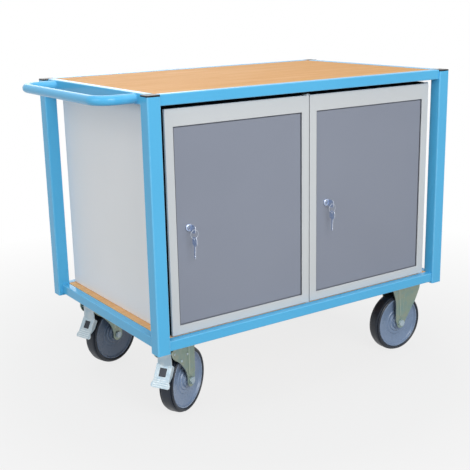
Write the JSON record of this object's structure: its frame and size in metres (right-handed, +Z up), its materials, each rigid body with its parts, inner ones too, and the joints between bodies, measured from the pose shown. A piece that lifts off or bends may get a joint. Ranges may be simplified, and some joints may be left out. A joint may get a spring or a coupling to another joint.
{
  "type": "workbench trolley",
  "caption": "Tubular steel workbench trolley with wooden worktop, lockable double-door cabinet, push handle, braked swivel casters and fixed casters.",
  "frame": {"origin": "middle of the bounding box on the floor", "axes": "+X along the trolley away from the push handle, doors face -Y, +Z up"},
  "size_m": [1.2056, 0.7118, 0.96],
  "materials": {
    "frame_blue": "satin powder coat",
    "cap_black": "matte",
    "beech": "sealed",
    "cabinet_grey": "satin powder coat",
    "panel_grey": "matte powder coat",
    "zinc": "zinc plated",
    "steel": "satin",
    "chrome": "polished",
    "wheel_grey": "satin",
    "rubber": "matte"
  },
  "bodies": {
    "trolley": {"front_left_post": "frame_blue", "front_right_post": "frame_blue", "back_left_post": "frame_blue", "back_right_post": "frame_blue", "front_left_post_cap": "cap_black", "front_right_post_cap": "cap_black", "back_left_post_cap": "cap_black", "back_right_post_cap": "cap_black", "top_front_rail": "frame_blue", "top_back_rail": "frame_blue", "top_left_rail": "frame_blue", "top_right_rail": "frame_blue", "bottom_front_rail": "frame_blue", "bottom_back_rail": "frame_blue", "bottom_left_rail": "frame_blue", "bottom_right_rail": "frame_blue", "left_caster_beam": "frame_blue", "right_caster_beam": "frame_blue", "push_handle": "frame_blue", "worktop": "beech", "shelf_board": "beech", "cabinet_body": "cabinet_grey", "cabinet_divider": "cabinet_grey", "left_door_hinge_rod": "steel", "right_door_hinge_rod": "steel", "front_left_caster_plate": "zinc", "back_left_caster_plate": "zinc", "front_right_fixed_fork": "zinc", "front_right_axle": "zinc", "back_right_fixed_fork": "zinc", "back_right_axle": "zinc"},
    "left_door": {"left_door_frame": "cabinet_grey", "left_door_panel": "panel_grey", "left_lock_housing": "chrome"},
    "left_lock": {"left_lock_plug_and_cam": "steel", "left_key": "chrome", "left_key_ring": "steel", "left_spare_key": "chrome"},
    "right_door": {"right_door_frame": "cabinet_grey", "right_door_panel": "panel_grey", "right_lock_housing": "chrome"},
    "right_lock": {"right_lock_plug_and_cam": "steel", "right_key": "chrome", "right_key_ring": "steel", "right_spare_key": "chrome"},
    "front_left_swivel": {"front_left_fork": "zinc", "front_left_axle": "zinc"},
    "front_left_pedal": {"front_left_brake_pedal": "zinc"},
    "front_left_rolling_wheel": {"front_left_wheel": "wheel_grey", "front_left_tyre": "rubber"},
    "back_left_swivel": {"back_left_fork": "zinc", "back_left_axle": "zinc"},
    "back_left_pedal": {"back_left_brake_pedal": "zinc"},
    "back_left_rolling_wheel": {"back_left_wheel": "wheel_grey", "back_left_tyre": "rubber"},
    "front_right_rolling_wheel": {"front_right_wheel": "wheel_grey", "front_right_tyre": "rubber"},
    "back_right_rolling_wheel": {"back_right_wheel": "wheel_grey", "back_right_tyre": "rubber"}
  },
  "joints": [
    {"name": "left_door_hinge", "type": "hinge", "parent": "trolley", "child": "left_door", "pos_m": [0.04725, -0.31415, 0.602], "axis": [0, 0, 1], "range_deg": [0, 100]},
    {"name": "right_door_hinge", "type": "hinge", "parent": "trolley", "child": "right_door", "pos_m": [0.53575, -0.31415, 0.602], "axis": [0, 0, 1], "range_deg": [0, 100]},
    {"name": "left_lock_turn", "type": "hinge", "parent": "left_door", "child": "left_lock", "pos_m": [-0.36925, -0.31415, 0.5895], "axis": [0, -1, 0], "range_deg": [0, 90]},
    {"name": "right_lock_turn", "type": "hinge", "parent": "right_door", "child": "right_lock", "pos_m": [0.11925, -0.31415, 0.5895], "axis": [0, -1, 0], "range_deg": [0, 90]},
    {"name": "front_left_swivel_turn", "type": "hinge", "parent": "trolley", "child": "front_left_swivel", "pos_m": [-0.39325, -0.23515, 0.24], "axis": [0, 0, 1], "continuous": true},
    {"name": "back_left_swivel_turn", "type": "hinge", "parent": "trolley", "child": "back_left_swivel", "pos_m": [-0.39325, 0.24685, 0.24], "axis": [0, 0, 1], "continuous": true},
    {"name": "front_left_pedal_press", "type": "hinge", "parent": "front_left_swivel", "child": "front_left_pedal", "pos_m": [-0.42477, -0.25255, 0.2143], "axis": [0.4833, -0.8755, 0], "range_deg": [0, 8]},
    {"name": "back_left_pedal_press", "type": "hinge", "parent": "back_left_swivel", "child": "back_left_pedal", "pos_m": [-0.42751, 0.23578, 0.2143], "axis": [0.3074, -0.9516, 0], "range_deg": [0, 8]},
    {"name": "front_left_wheel_roll", "type": "hinge", "parent": "front_left_swivel", "child": "front_left_rolling_wheel", "pos_m": [-0.34597, -0.20905, 0.1], "axis": [-0.4833, 0.8755, 0], "continuous": true},
    {"name": "back_left_wheel_roll", "type": "hinge", "parent": "back_left_swivel", "child": "back_left_rolling_wheel", "pos_m": [-0.34186, 0.26345, 0.1], "axis": [-0.3074, 0.9516, 0], "continuous": true},
    {"name": "front_right_wheel_roll", "type": "hinge", "parent": "trolley", "child": "front_right_rolling_wheel", "pos_m": [0.49875, -0.23515, 0.1], "axis": [0, 1, 0], "continuous": true},
    {"name": "back_right_wheel_roll", "type": "hinge", "parent": "trolley", "child": "back_right_rolling_wheel", "pos_m": [0.49875, 0.24685, 0.1], "axis": [0, 1, 0], "continuous": true}
  ]
}
